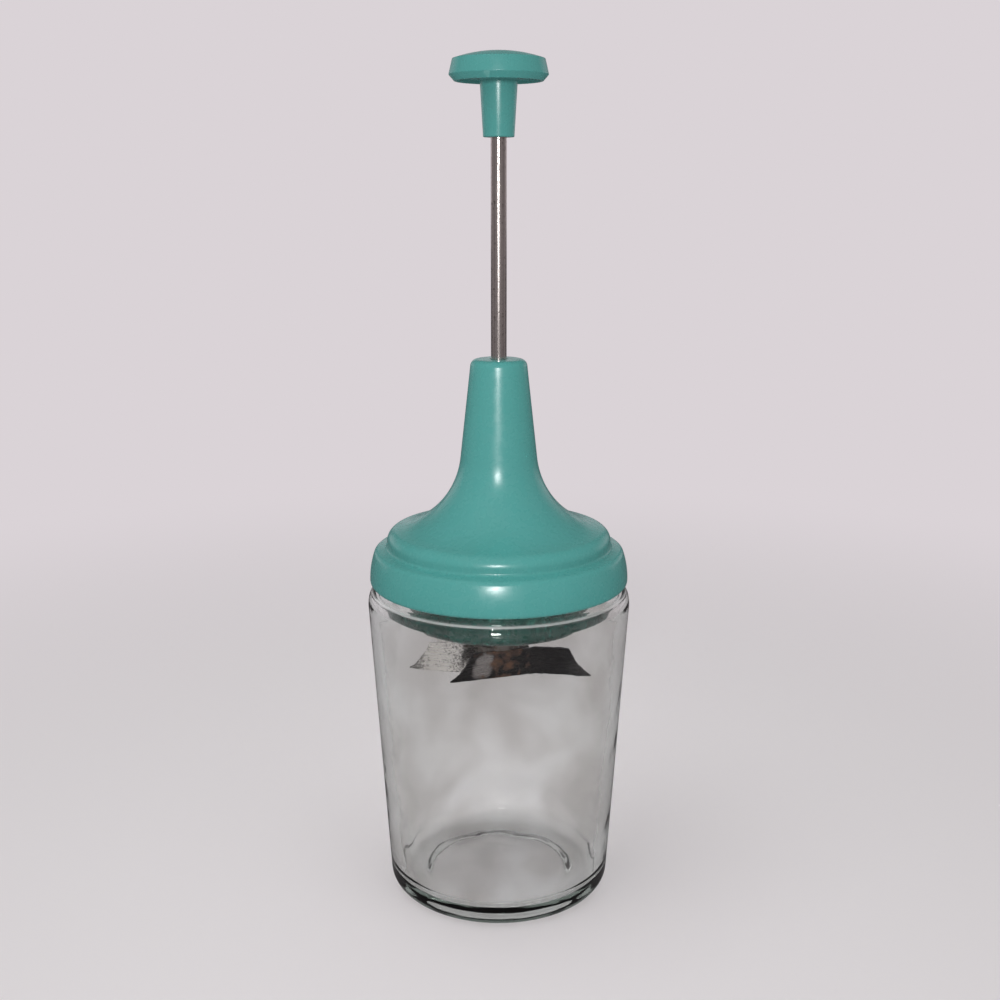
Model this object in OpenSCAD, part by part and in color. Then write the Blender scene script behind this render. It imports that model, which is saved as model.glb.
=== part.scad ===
// Push-type nut chopper: a glass jar, a screw lid with a trumpet neck, a sprung plunger and two blades.
// Millimetres. Z is up along the plunger, the table is z = 0 and the front is -Y.

/* [Jar] */
// height of the rim over the table
jar_h = 101.6; // [92:0.2:125]
// thickness of the glass floor
jar_floor = 5; // [3:0.1:8]
// thickness of the glass wall
jar_wall = 3.4; // [2.6:0.1:4.4]
// lean of the wall from upright, in degrees
jar_taper = 3.65; // [1:0.05:5]
// how far the shoulder stands out past the lid
jar_shoulder_over = 0.7; // [0:0.1:3]
// radius of the round at the foot
heel_round = 5; // [3:0.1:8]
// depth of the hollow under the foot
punt_depth = 1.2; // [0.4:0.1:2]
// thickness of the glass at the mouth
finish_wall = 2; // [1.6:0.1:2.6]

/* [Lid] */
// radius of the skirt at its lower edge
lid_r = 37.5; // [34:0.1:44]
// thickness of the moulded wall
lid_wall = 1.9; // [1.4:0.1:2.4]
// height of the skirt below the seat
skirt_h = 8.55; // [7:0.05:10.5]
// height of the upper tier over the seat
tier_h = 7.3; // [6:0.1:9]
// how far the upper tier is set in from the skirt
tier_in = 5.1; // [4.4:0.05:6]
// radius of the round on the upper tier
tier_round = 3.4; // [2:0.1:4.4]
// radius of the crown of the skirt's side
skirt_crown = 24; // [20:1:60]
// radius of the trumpet curve
flare_r = 24; // [18:0.1:28]
// radius of the neck where the trumpet curve starts
neck_base_r = 11; // [10:0.1:13]
// radial room for the stop washer at the top of the neck's bore
neck_room = 0.85; // [0.4:0.05:1.6]
// thickness of the neck's flat top
neck_cap = 2.7; // [1.8:0.1:4]

/* [Spring cup] */
// depth of the cup below the jar's rim
cup_depth = 16.4; // [12:0.1:20]
// thickness of the cup's wall and floor
cup_wall = 1.8; // [1.2:0.1:2.6]
// thickness of the flange on the jar's rim
flange_t = 1.2; // [0.8:0.1:2]
// height of the guide boss over the cup's floor
boss_h = 5.4; // [3:0.1:6]
// radius of the guide boss
boss_r = 3.8; // [3.4:0.1:4]

/* [Plunger] */
// diameter of the rod
rod_d = 4.4; // [3.8:0.1:5]
// height of the blade hub from the cutting edges up
hub_h = 17.8; // [15:0.1:22]
// radius of the hub's round head
hub_head_r = 5; // [4.2:0.1:6]
// radius of the hub where the blades sit
hub_r = 6.2; // [5.6:0.1:8]
// distance between the two flats of the hub
hub_flats = 8; // [7:0.1:9]
// thickness of the stop washer
washer_t = 0.8; // [0.5:0.05:1.2]
// radius of the stop washer
washer_r = 5.4; // [5.2:0.05:5.8]
// thickness of the retaining clip
clip_t = 0.6; // [0.4:0.05:0.9]
// radius of the retaining clip
clip_r = 4.2; // [3.6:0.1:4.8]
// depth of the clip's groove in the rod
groove_depth = 0.45; // [0.3:0.05:0.6]

/* [Knob] */
// radius of the knob at its widest
knob_r = 13.5; // [11:0.1:18]
// height of the knob's disc, edge to crown
knob_h = 7.8; // [6:0.1:11]
// height of the knob's stem
stem_h = 14.5; // [10:0.1:20]
// radius of the stem at its lower end
stem_r = 4.28; // [3.6:0.02:5.4]
// depth of the hollow under the disc
knob_hollow = 0.8; // [0.3:0.1:1.6]

/* [Blades] */
// thickness of the blade strip
blade_t = 0.8; // [0.5:0.05:1.2]
// height of the blade strip
blade_h = 8.5; // [7:0.1:10]
// reach of the short arm from the axis
short_arm = 16.2; // [13:0.1:19]
// distance from the axis to the bend
bend_at = 9.5; // [8.4:0.1:11]
// angle of the bend, in degrees
bend_deg = 29.9; // [10:0.1:40]
// length of the long arm past the bend
long_arm = 15.8; // [12:0.1:17]
// inside radius of the bend
bend_r = 1.6; // [1:0.1:3]
// how much longer the cutting edge is than the top edge, at each end
blade_flare = 6.5; // [3:0.1:7]
// height of the ground bevel
bevel_h = 1.6; // [0.8:0.1:2.4]
// turn of the blade pair about the axis, in degrees
blade_turn = 18.9; // [0:0.1:90]
// diameter of the rivet shanks
rivet_d = 2.2; // [1.6:0.1:2.6]
// distance of each rivet from the axis
rivet_at = 3.2; // [2.8:0.1:3.8]

/* [Return spring] */
// diameter of the spring wire
wire_d = 1; // [0.7:0.05:1.1]
// mean radius of the lowest turn
spring_low_r = 14; // [11:0.1:16]
// number of working turns
spring_turns = 8; // [6:1:9]
// height left for the spring when the plunger is down
spring_shut = 7.8; // [6.4:0.1:12]

/* [Fits] */
// radial clearance of the rod in its guides
run_gap = 0.08; // [0.04:0.01:0.1]
// radial clearance of parts that are pressed or set together
press_gap = 0.03; // [0.01:0.01:0.05]
// clearance between faces that rest on each other
face_gap = 0.05; // [0.03:0.01:0.1]
// radial clearance between the jar's mouth and the lid's skirt
thread_gap = 0.6; // [0.5:0.05:0.9]
// radial clearance of the cup in the mouth
cup_gap = 0.4; // [0.3:0.05:0.6]
// clearance left at each end of the stroke
stop_gap = 0.2; // [0.1:0.05:0.4]
// height of the cutting edges over the glass when the plunger is down
edge_gap = 1.6; // [1:0.1:3]
// clearance between the hub and the cup with the plunger up
hub_gap = 0.8; // [0.4:0.1:2]

/* [Hidden] */
$fn = 96;
steel = [0.72, 0.73, 0.74];
turquoise = [0.32, 0.66, 0.62];
rod_r = rod_d / 2;

// skirt, mouth and cup, from the lid inward
skirt_top_r = lid_r - 1.55;
skirt_in_r = skirt_top_r - 1.35;
finish_r = skirt_in_r - thread_gap;
mouth_r = finish_r - finish_wall;
cup_r = mouth_r - cup_gap;
tier_r = lid_r - tier_in;

// levels, from the jar's rim
seat_z = jar_h + flange_t + 2 * face_gap;
skirt_z = seat_z - skirt_h;
tier_z = seat_z + tier_h;
cup_z = jar_h - cup_depth;
cup_floor_z = cup_z + cup_wall;
hub_top_z = cup_z - hub_gap;
edge_z = hub_top_z - hub_h;
blade_top_z = edge_z + blade_h;
stroke = edge_z - jar_floor - edge_gap;
spring_z0 = cup_floor_z + face_gap;
spring_z1 = spring_z0 + stroke + spring_shut;
washer_z = spring_z1 + face_gap;
clip_z = washer_z + washer_t + face_gap;
neck_in_z = clip_z + clip_t + 3 * face_gap;
neck_top_z = neck_in_z + neck_cap;
stem_z = neck_top_z + stroke + stop_gap;
disc_z = stem_z + stem_h;
knob_top_z = disc_z + knob_h;
rod_z0 = edge_z + 9;
rod_z1 = disc_z + knob_h / 3;

// trumpet curve for a neck of a given lean: how far round the tier it starts, its centre, and the neck's foot
function flare_out(lean) = neck_base_r + flare_r * cos(lean);
function flare_end(lean) = acos((flare_out(lean) - tier_r + tier_round) / (tier_round + flare_r));
function flare_mid(lean) =
  [flare_out(lean), tier_z - tier_round + (tier_round + flare_r) * sin(flare_end(lean))];
function foot_z(lean) = flare_mid(lean)[1] - flare_r * sin(lean);
// the neck leans from its foot to the washer's room, and each round starts from the last one's foot
neck_top_r = washer_r + neck_room + lid_wall;
function lean_after(n) =
  n == 0 ? 6 : atan((neck_base_r - neck_top_r) / (neck_in_z - foot_z(lean_after(n - 1))));
neck_draft = lean_after(6);
flare_x = flare_mid(neck_draft)[0];
flare_z = flare_mid(neck_draft)[1];
neck_base_z = foot_z(neck_draft);
flare_end_deg = flare_end(neck_draft);
neck_in_r = neck_base_r - lid_wall / cos(neck_draft);
tier_in_r = tier_r - lid_wall;

// jar wall lines
shoulder_z = jar_h - 13.6;
shoulder_r = lid_r + jar_shoulder_over;
shoulder_round = 5;

// radius of the jar's outer wall, and of its inner wall, at a height
function jar_out(z) = shoulder_r - (shoulder_z - z) * tan(jar_taper);
function jar_in(z) = jar_out(z) - jar_wall / cos(jar_taper);
// radius of the neck at a height
function neck_r(z) = neck_base_r - (z - neck_base_z) * tan(neck_draft);
// points of an arc about [x, z]
function arc(x, z, r, a0, a1, n) =
  [for (i = [0:n]) let (a = a0 + (a1 - a0) * i / n) [x + r * cos(a), z + r * sin(a)]];
// the centre of a round of radius r between the level z and a wall that leans out from radius w
function round_x(w, r) = w + r * tan(jar_taper) - r / cos(jar_taper);

// pressed glass jar with a thick floor, a leaning wall and a rounded shoulder below the mouth
module glass_jar() {
  in_round = 4;
  heel_x = round_x(jar_out(0), heel_round);
  floor_x = round_x(jar_in(jar_floor), in_round);
  cx = shoulder_r - shoulder_round * cos(jar_taper);
  cz = shoulder_z + shoulder_round * sin(jar_taper);
  color([0.85, 0.93, 0.92, 0.4])
    rotate_extrude()
      polygon(concat(
        [[0, punt_depth], [heel_x - 7, punt_depth], [heel_x - 5, 0]],
        arc(heel_x, heel_round, heel_round, -90, -jar_taper, 6),
        arc(cx, cz, shoulder_round, -jar_taper, 72, 8),
        [[finish_r, cz + shoulder_round + 0.8]],
        arc(finish_r - 0.8, jar_h - 0.8, 0.8, 0, 90, 4),
        arc(mouth_r + 0.6, jar_h - 0.6, 0.6, 90, 180, 4),
        [[mouth_r, cz + shoulder_round]],
        arc(cx, cz, shoulder_round - jar_wall, 60, -jar_taper, 5),
        arc(floor_x, jar_floor + in_round, in_round, -jar_taper, -90, 6),
        [[0, jar_floor]]));
}

// moulded screw lid: skirt, stepped tier, trumpet and neck in one wall, with the rod's upper guide
module lid() {
  corner = 2;
  foot = 1.2;
  crown_deg = asin((seat_z + 0.4 - skirt_z - foot) / skirt_crown);
  edge = [lid_r - skirt_crown, skirt_z + foot] + (skirt_crown - 0.8) * [cos(crown_deg), sin(crown_deg)];
  top_r = neck_r(neck_top_z - corner);
  in_end_z = flare_z - sqrt(pow(flare_r + lid_wall, 2) - pow(flare_x - tier_in_r, 2));
  in_end_deg = atan2(in_end_z - flare_z, tier_in_r - flare_x);
  color(turquoise)
    rotate_extrude()
      polygon(concat(
        [[lid_r - 1.9, skirt_z]],
        arc(lid_r - foot, skirt_z + foot, foot, -90, 0, 4),
        arc(lid_r - skirt_crown, skirt_z + foot, skirt_crown, 2, crown_deg, 6),
        arc(edge[0], edge[1], 0.8, crown_deg, 76, 4),
        arc(tier_r + 0.5, seat_z + 2.1, 0.5, 256, 180, 3),
        arc(tier_r - tier_round, tier_z - tier_round, tier_round, 0, flare_end_deg, 8),
        arc(flare_x, flare_z, flare_r, 180 + flare_end_deg, 180 + neck_draft, 16),
        arc(top_r - corner, neck_top_z - corner, corner, neck_draft, 90, 5),
        [[rod_r + run_gap, neck_top_z], [rod_r + run_gap, neck_in_z],
         [neck_r(neck_in_z) - lid_wall, neck_in_z]],
        arc(flare_x, flare_z, flare_r + lid_wall, 180 + neck_draft, in_end_deg + 360, 16),
        [[tier_in_r, seat_z], [skirt_in_r, seat_z]]));
}

// moulded cup between lid and jar: seat of the spring and lower guide of the rod
module spring_cup() {
  low_r = cup_r - 0.3;
  flange_r = finish_r - 0.2;
  flange_z = jar_h + face_gap;
  color(turquoise)
    rotate_extrude()
      polygon(concat(
        [[rod_r + run_gap, cup_z]],
        arc(low_r - 1.5, cup_z + 1.5, 1.5, -90, 0, 5),
        [[cup_r, flange_z], [flange_r, flange_z], [flange_r, flange_z + flange_t],
         [cup_r - cup_wall, flange_z + flange_t], [low_r - cup_wall, cup_floor_z], [boss_r, cup_floor_z],
         [boss_r, cup_floor_z + boss_h], [rod_r + run_gap, cup_floor_z + boss_h]]));
}

// conical compression spring: its turns telescope into each other when the plunger is down
ends = 0.75;
turns = spring_turns + 2 * ends;
rings = 12;
sides = 6;
top_r = washer_r - wire_d / 2 - 0.3;
function active(t) = min(max((t - ends) / spring_turns, 0), 1);
function coil_r(t) = spring_low_r + (top_r - spring_low_r) * active(t);
function coil_z(t) = spring_z0 + wire_d / 2 + (spring_z1 - spring_z0 - wire_d) * active(t);
function coil(t) = [coil_r(t) * cos(360 * t), coil_r(t) * sin(360 * t), coil_z(t)];
// the least gap between a turn and the next, wire to wire
self_gap = min([for (i = [0:(turns - 1) * rings]) let (t = i / rings)
                norm([coil_r(t + 1) - coil_r(t), coil_z(t + 1) - coil_z(t)])]) - wire_d;
echo(self_gap = self_gap);
module return_spring() {
  count = round(turns * rings);
  points = [for (i = [0:count]) let (t = i / rings, out = [cos(360 * t), sin(360 * t), 0])
            for (k = [0:sides - 1]) let (a = 360 * k / sides + 90)
            coil(t) + wire_d / 2 * (cos(a) * out + [0, 0, sin(a)])];
  walls = [for (i = [0:count - 1]) for (k = [0:sides - 1])
           let (a = i * sides + k, b = i * sides + (k + 1) % sides)
           for (f = [[a, b, b + sides], [a, b + sides, a + sides]]) f];
  first = [for (k = [1:sides - 2]) [0, k + 1, k]];
  last = [for (k = [1:sides - 2]) [count * sides, count * sides + k, count * sides + k + 1]];
  color(steel)
    polyhedron(points, concat(walls, first, last));
}

// flat washer that the spring pushes up
module stop_washer() {
  color(steel)
    translate([0, 0, washer_z])
      difference() {
        cylinder(r = washer_r, h = washer_t);
        translate([0, 0, -1])
          cylinder(r = rod_r + run_gap, h = washer_t + 2);
      }
}

// snap ring in the rod's groove, open to one side
module retaining_clip() {
  seat_r = rod_r - groove_depth + press_gap;
  color(steel)
    translate([0, 0, clip_z])
      linear_extrude(height = clip_t)
        difference() {
          circle(r = clip_r);
          circle(r = seat_r);
          translate([0, -seat_r * 0.85])
            square([clip_r + 1, seat_r * 1.7]);
          for (s = [-1, 1])
            rotate(s * 125)
              translate([seat_r, 0])
                circle(r = 0.7);
        }
}

// drawn rod with a groove for the clip
module plunger_rod() {
  ease = 0.3;
  floor_r = rod_r - groove_depth;
  color(steel)
    rotate_extrude()
      polygon([[0, rod_z0], [rod_r - ease, rod_z0], [rod_r, rod_z0 + ease],
               [rod_r, clip_z - face_gap], [floor_r, clip_z - face_gap],
               [floor_r, clip_z + clip_t + face_gap], [rod_r, clip_z + clip_t + face_gap],
               [rod_r, rod_z1 - ease], [rod_r - ease, rod_z1], [0, rod_z1]]);
}

// moulded push knob: domed disc with a hollow underside on a drafted stem
module knob() {
  bore = rod_r + press_gap;
  root_r = stem_r + 0.78;
  root = 0.7;
  edge = 1.5;
  lip_r = knob_r - 0.85;
  crown_z = disc_z + 5.8 / 7.8 * knob_h;
  crown_r = knob_r - 0.9;
  ease = 0.3;
  dome = knob_top_z - crown_z;
  dome_r = (pow(crown_r - ease, 2) + pow(dome, 2)) / (2 * dome);
  dome_deg = asin((crown_r - ease) / dome_r);
  color(turquoise)
    rotate_extrude()
      polygon(concat(
        [[bore, stem_z], [stem_r - 0.3, stem_z], [stem_r, stem_z + 0.3], [root_r, disc_z - 1]],
        arc(root_r + root, disc_z + knob_hollow - root, root, 180, 90, 4),
        [[lip_r - 1.2, disc_z + knob_hollow], [lip_r - 0.8, disc_z], [lip_r, disc_z]],
        arc(knob_r - edge, disc_z + edge, edge, -50, 5, 4),
        [[crown_r, crown_z - ease]],
        arc(0, knob_top_z - dome_r, dome_r, 90 - dome_deg, 90, 8),
        [[0, rod_z1 + face_gap], [bore, rod_z1 + face_gap]]));
}

// turned hub: round head on the rod, two flats for the blades, its foot clear of the cutting edges
module blade_hub() {
  hub_lift = 1;
  color(steel)
    rotate(blade_turn)
      difference() {
        union() {
          translate([0, 0, blade_top_z + face_gap])
            cylinder(r = hub_head_r, h = hub_top_z - blade_top_z - face_gap);
          intersection() {
            translate([0, 0, edge_z + hub_lift])
              cylinder(r = hub_r, h = blade_h - hub_lift + 1);
            translate([-hub_r - 1, -hub_flats / 2, edge_z])
              cube([2 * hub_r + 2, hub_flats, blade_h + 2]);
          }
        }
        translate([0, 0, rod_z0 - face_gap])
          cylinder(r = rod_r + press_gap, h = hub_h);
        for (s = [-1, 1])
          translate([s * rivet_at, 0, edge_z + blade_h / 2])
            rotate([90, 0, 0])
              cylinder(d = rivet_d + 2 * press_gap, h = hub_flats + 2, center = true);
      }
}

// cutter for the ground bevel of a straight edge along X, starting clear of the bend
module bevel_cut(length) {
  edge_t = 0.15;
  lean = bevel_h / (blade_t - edge_t);
  translate([bevel_h, 0, 0])
    rotate([90, 0, 90])
      linear_extrude(height = length)
        polygon([[-edge_t + 0.1, -0.1 * lean], [-blade_t - 0.1, bevel_h + 0.1 * lean],
                 [-blade_t - 0.1, -0.1 * lean]]);
}

// cutter for the hollow slant of a blade's end at the origin, the blade running to +X
module end_cut() {
  cut_r = 15;
  drop = blade_h - 0.4;
  chord = norm([blade_flare, drop]);
  off = sqrt(pow(cut_r, 2) - pow(chord / 2, 2));
  translate([blade_flare / 2 - off * drop / chord, 1, 0.4 + drop / 2 + off * blade_flare / chord])
    rotate([90, 0, 0])
      cylinder(r = cut_r, h = blade_t + 2);
}

// depth of the countersinks for the rivets
sink = blade_t / 2;

// one blade strip, its flat face on the hub: straight, a bend and the long arm, ends cut in a hollow slant
module blade_strip() {
  bend_y = -blade_t - bend_r;
  arm = long_arm * [cos(bend_deg), -sin(bend_deg)];
  inner = arc(bend_at, bend_y, bend_r + blade_t, 90, 90 - bend_deg, 5);
  outer = arc(bend_at, bend_y, bend_r, 90 - bend_deg, 90, 5);
  translate([0, -hub_flats / 2, edge_z])
    difference() {
      linear_extrude(height = blade_h)
        polygon(concat([[-short_arm, 0]], inner, [inner[5] + arm, outer[0] + arm], outer,
                       [[-short_arm, -blade_t]]));
      translate([bend_at, 0, 0])
        mirror([1, 0, 0])
          bevel_cut(short_arm + bend_at);
      translate([-short_arm, 0, 0])
        end_cut();
      translate([bend_at, bend_y, 0])
        rotate(-bend_deg)
          translate([0, bend_r + blade_t, 0]) {
            bevel_cut(long_arm);
            translate([long_arm, 0, 0])
              mirror([1, 0, 0])
                end_cut();
          }
      for (s = [-1, 1])
        translate([s * rivet_at, 0, blade_h / 2])
          rotate([90, 0, 0]) {
            translate([0, 0, -1])
              cylinder(d = rivet_d + 2 * press_gap, h = blade_t + 2);
            translate([0, 0, blade_t - sink])
              cylinder(r1 = rivet_d / 2 + press_gap, r2 = rivet_d / 2 + sink + press_gap, h = sink);
          }
    }
}

module front_blade() {
  color(steel)
    rotate(blade_turn)
      blade_strip();
}

module rear_blade() {
  color(steel)
    rotate(blade_turn + 180)
      blade_strip();
}

// two rivets through both blades and the hub, closed flush into the countersinks
module blade_rivets() {
  face = hub_flats / 2 + blade_t;
  shank = rivet_d / 2;
  color(steel)
    rotate(blade_turn)
      for (s = [-1, 1])
        translate([s * rivet_at, 0, edge_z + blade_h / 2])
          rotate([90, 0, 0])
            rotate_extrude()
              polygon([[0, -face], [shank + sink, -face], [shank, sink - face],
                       [shank, face - sink], [shank + sink, face], [0, face]]);
}

glass_jar();
lid();
spring_cup();
return_spring();
stop_washer();
retaining_clip();
plunger_rod();
knob();
blade_hub();
front_blade();
rear_blade();
blade_rivets();
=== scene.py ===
import math

import bpy
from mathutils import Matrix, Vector


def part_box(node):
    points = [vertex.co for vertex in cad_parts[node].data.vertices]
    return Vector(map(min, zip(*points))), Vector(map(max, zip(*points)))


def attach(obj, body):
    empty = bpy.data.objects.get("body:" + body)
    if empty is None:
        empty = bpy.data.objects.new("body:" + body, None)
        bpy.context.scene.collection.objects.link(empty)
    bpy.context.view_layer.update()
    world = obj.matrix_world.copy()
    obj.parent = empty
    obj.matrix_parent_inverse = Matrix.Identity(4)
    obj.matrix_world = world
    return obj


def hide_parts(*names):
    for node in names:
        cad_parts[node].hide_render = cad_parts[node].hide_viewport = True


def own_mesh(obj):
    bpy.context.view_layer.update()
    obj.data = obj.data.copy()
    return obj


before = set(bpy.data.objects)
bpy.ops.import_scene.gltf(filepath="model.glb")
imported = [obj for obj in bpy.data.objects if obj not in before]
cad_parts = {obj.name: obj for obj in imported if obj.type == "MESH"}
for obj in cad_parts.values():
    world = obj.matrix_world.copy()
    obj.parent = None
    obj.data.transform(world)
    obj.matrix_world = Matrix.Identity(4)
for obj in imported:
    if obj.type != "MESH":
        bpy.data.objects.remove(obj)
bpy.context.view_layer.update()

# A push-type nut chopper. Profiles are in millimetres, as (radius, height) about the plunger's axis.
MM = 0.001

# ---------------------------------------------------------------- sizes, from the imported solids
lid_low, lid_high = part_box("lid")
LID_R = lid_high.x / MM
SKIRT_Z = lid_low.z / MM
NECK_TOP_Z = lid_high.z / MM
JAR_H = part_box("glass_jar")[1].z / MM
CUP_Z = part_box("spring_cup")[0].z / MM
FLANGE_TOP_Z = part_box("spring_cup")[1].z / MM
KNOB_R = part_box("knob")[1].x / MM
STEM_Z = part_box("knob")[0].z / MM
KNOB_TOP_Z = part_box("knob")[1].z / MM
ROD_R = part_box("plunger_rod")[1].x / MM
ROD_Z0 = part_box("plunger_rod")[0].z / MM
ROD_Z1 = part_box("plunger_rod")[1].z / MM
SPRING_Z0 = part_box("return_spring")[0].z / MM
SPRING_Z1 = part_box("return_spring")[1].z / MM
CLIP_Z0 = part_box("retaining_clip")[0].z / MM
CLIP_Z1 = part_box("retaining_clip")[1].z / MM

# gaps that the boxes don't show: rod in its guides, faces that meet, thread, cup in the mouth
RUN_GAP = 0.08
FACE_GAP = 0.05
THREAD_GAP = 0.6
CUP_GAP = 0.4
BORE_EASE = 0.25

# lid: skirt from its foot to the seat on the jar, tier, trumpet and neck
LID_WALL = 1.9
SEAT_Z = SKIRT_Z + 8.55
TIER_Z = SEAT_Z + 7.3
TIER_R = LID_R - 5.1
TIER_ROUND = 3.4
SKIRT_CROWN = 24
SKIRT_IN_R = LID_R - 2.9
SKIRT_FOOT_R = LID_R - 1.9
NECK_FOOT_R = 11
NECK_TOP_T = 2.7

# mouth of the jar and the cup inside it
MOUTH_WALL = 2.0
FINISH_R = SKIRT_IN_R - THREAD_GAP
MOUTH_R = FINISH_R - MOUTH_WALL
CUP_R = MOUTH_R - CUP_GAP
CUP_T = 1.8

# screw thread: two starts, each half a turn long
THREAD_LEAD = 10.0
THREAD_LOW_Z = 95.7
THREAD_H = 0.6
THREAD_HALF_W = 1.0
THREAD_FADE_DEG = 14
LUG_DROP = 2.3
LUG_GAP = 0.2

# line on the jar's shoulder where the mould met its neck ring
BEAD_Z = SKIRT_Z - 2.2
BEAD_H = 0.3
BEAD_HALF_W = 0.6


# ---------------------------------------------------------------- making meshes
def arc(x, z, r, start, end, steps):
    """Points of an arc about (x, z), from one angle to another in degrees."""
    angles = [math.radians(start + (end - start) * i / steps) for i in range(steps + 1)]
    return [(x + r * math.cos(a), z + r * math.sin(a)) for a in angles]


def line(start, end, steps):
    """Points along a straight stretch, the last one left to what follows."""
    (r0, z0), (r1, z1) = start, end
    return [(r0 + (r1 - r0) * i / steps, z0 + (z1 - z0) * i / steps) for i in range(steps)]


def keep(name, points, faces, sharp_deg):
    """Makes an object of points in millimetres, smooth except at edges sharper than an angle."""
    mesh = bpy.data.meshes.new(name)
    mesh.from_pydata([Vector(p) * MM for p in points], [], faces)
    mesh.validate()
    mesh.shade_smooth()
    mesh.set_sharp_from_angle(angle=math.radians(sharp_deg))
    piece = bpy.data.objects.new(name, mesh)
    bpy.context.scene.collection.objects.link(piece)
    return piece


def lathe(name, rows, steps=160, swell=None, sharp_deg=32):
    """Turns a profile about Z. Rows run with the solid on their left; a row at radius 0 is one point on
    the axis. Between two axis points the profile is open, and otherwise it closes on itself.
    swell(radius, height, angle) may move a point in or out."""
    points, rings = [], []
    for r, z in rows:
        on_axis = r < 1e-6
        first = len(points)
        for i in range(1 if on_axis else steps):
            a = 2 * math.pi * i / steps
            out = r if swell is None or on_axis else swell(r, z, a)
            points.append((out * math.cos(a), out * math.sin(a), z))
        rings.append([first] * steps if on_axis else list(range(first, first + steps)))
    pairs = list(zip(rings, rings[1:]))
    if rows[0][0] > 1e-6:
        pairs.append((rings[-1], rings[0]))
    faces = []
    for low, high in pairs:
        for i in range(steps):
            j = (i + 1) % steps
            # a face at the axis has three corners, because two of its four are one point
            faces.append(list(dict.fromkeys((low[i], low[j], high[j], high[i]))))
    return keep(name, points, faces, sharp_deg)


def hill(distance, half_width):
    """A rounded ridge: 1 at its middle, 0 from half_width on."""
    return 0.5 + 0.5 * math.cos(math.pi * min(abs(distance) / half_width, 1))


def thread(height, angle, drop, from_deg, to_deg):
    """How much of a two-start thread ridge there is at a point; the ridge runs out at both ends."""
    strength = 0
    for start in (0, 180):
        turned = (math.degrees(angle) - start) % 360
        fade = min(turned - from_deg, to_deg - turned) / THREAD_FADE_DEG
        if fade > 0:
            middle = THREAD_LOW_Z + THREAD_LEAD * turned / 360 - drop
            strength = max(strength, min(fade, 1) * hill(height - middle, THREAD_HALF_W))
    return strength


# ---------------------------------------------------------------- glass jar
def jar_profile():
    """Foot, leaning wall, rounded shoulder and threaded mouth outside, then the inside to the floor."""
    taper_deg, wall_t, floor_t, heel_r, corner_r = 3.65, 3.4, 5, 5, 4
    taper = math.radians(taper_deg)
    wall = wall_t / math.cos(taper)
    shoulder_z, shoulder_r, shoulder_round = JAR_H - 13.6, LID_R + 0.7, 5

    def out(z):
        return shoulder_r - (shoulder_z - z) * math.tan(taper)

    def round_x(r, radius):
        return r + radius * math.tan(taper) - radius / math.cos(taper)

    heel_x = round_x(out(0), heel_r)
    floor_x = round_x(out(floor_t) - wall, corner_r)
    cx = shoulder_r - shoulder_round * math.cos(taper)
    cz = shoulder_z + shoulder_round * math.sin(taper)
    # outside, the wall turns into the shoulder softly at first and then more tightly, up to the neck's root
    soft_r, tight_r, turn_deg, top_deg = 9.5, 4, 12, 70
    turn = math.radians(turn_deg)
    tight_z = cz + (shoulder_round - tight_r) * math.sin(math.radians(top_deg))
    tight_x = cx + (shoulder_round - soft_r + (soft_r - tight_r) * math.cos(turn + taper)
                    + (tight_z - cz) * math.sin(taper)) / math.cos(taper)
    soft_x = tight_x - (soft_r - tight_r) * math.cos(turn)
    soft_z = tight_z - (soft_r - tight_r) * math.sin(turn)
    outside = (arc(heel_x, heel_r, heel_r, -90, -taper_deg, 14)
               + arc(soft_x, soft_z, soft_r, -taper_deg, turn_deg, 16)
               + arc(tight_x, tight_z, tight_r, turn_deg, top_deg, 28)[1:])
    neck_z, root_r, lip_out, lip_in = cz + shoulder_round + 0.8, 1.0, 0.8, 0.6
    root = arc(FINISH_R + root_r, neck_z + 0.15, root_r, 236, 180, 6)
    finish = line((FINISH_R, neck_z + 0.4), (FINISH_R, JAR_H - lip_out), 26)
    rim = (arc(FINISH_R - lip_out, JAR_H - lip_out, lip_out, 0, 90, 6)
           + arc(MOUTH_R + lip_in, JAR_H - lip_in, lip_in, 90, 180, 6))
    inside = ([(MOUTH_R, cz + shoulder_round)] + arc(cx, cz, shoulder_round - wall_t, 60, -taper_deg, 8)
              + arc(floor_x, floor_t + corner_r, corner_r, -taper_deg, -90, 12) + [(0, floor_t)])
    # the foot is a ring round a shallow hollow, whose edge falls softly over its width
    hollow_h, edge_w, edge_in, rows = 1.2, 4, 8.6, 10
    hollow = [(0, hollow_h)] + [(heel_x - edge_in + edge_w * i / rows, hollow_h * hill(i, rows))
                                for i in range(rows + 1)]
    return hollow + outside + root + finish + rim + inside


def jar_swell(r, z, a):
    """The outer thread on the mouth, and the mould's line on the shoulder."""
    if abs(r - FINISH_R) < 1e-3:
        return r + THREAD_H * thread(z, a, 0, 0, 180)
    if r > FINISH_R + 1 and z > BEAD_Z - 1:
        return r + BEAD_H * hill(z - BEAD_Z, BEAD_HALF_W)
    return r


jar = lathe("jar_glass", jar_profile(), steps=256, swell=jar_swell)
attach(jar, "jar_body")
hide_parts("glass_jar")


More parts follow.
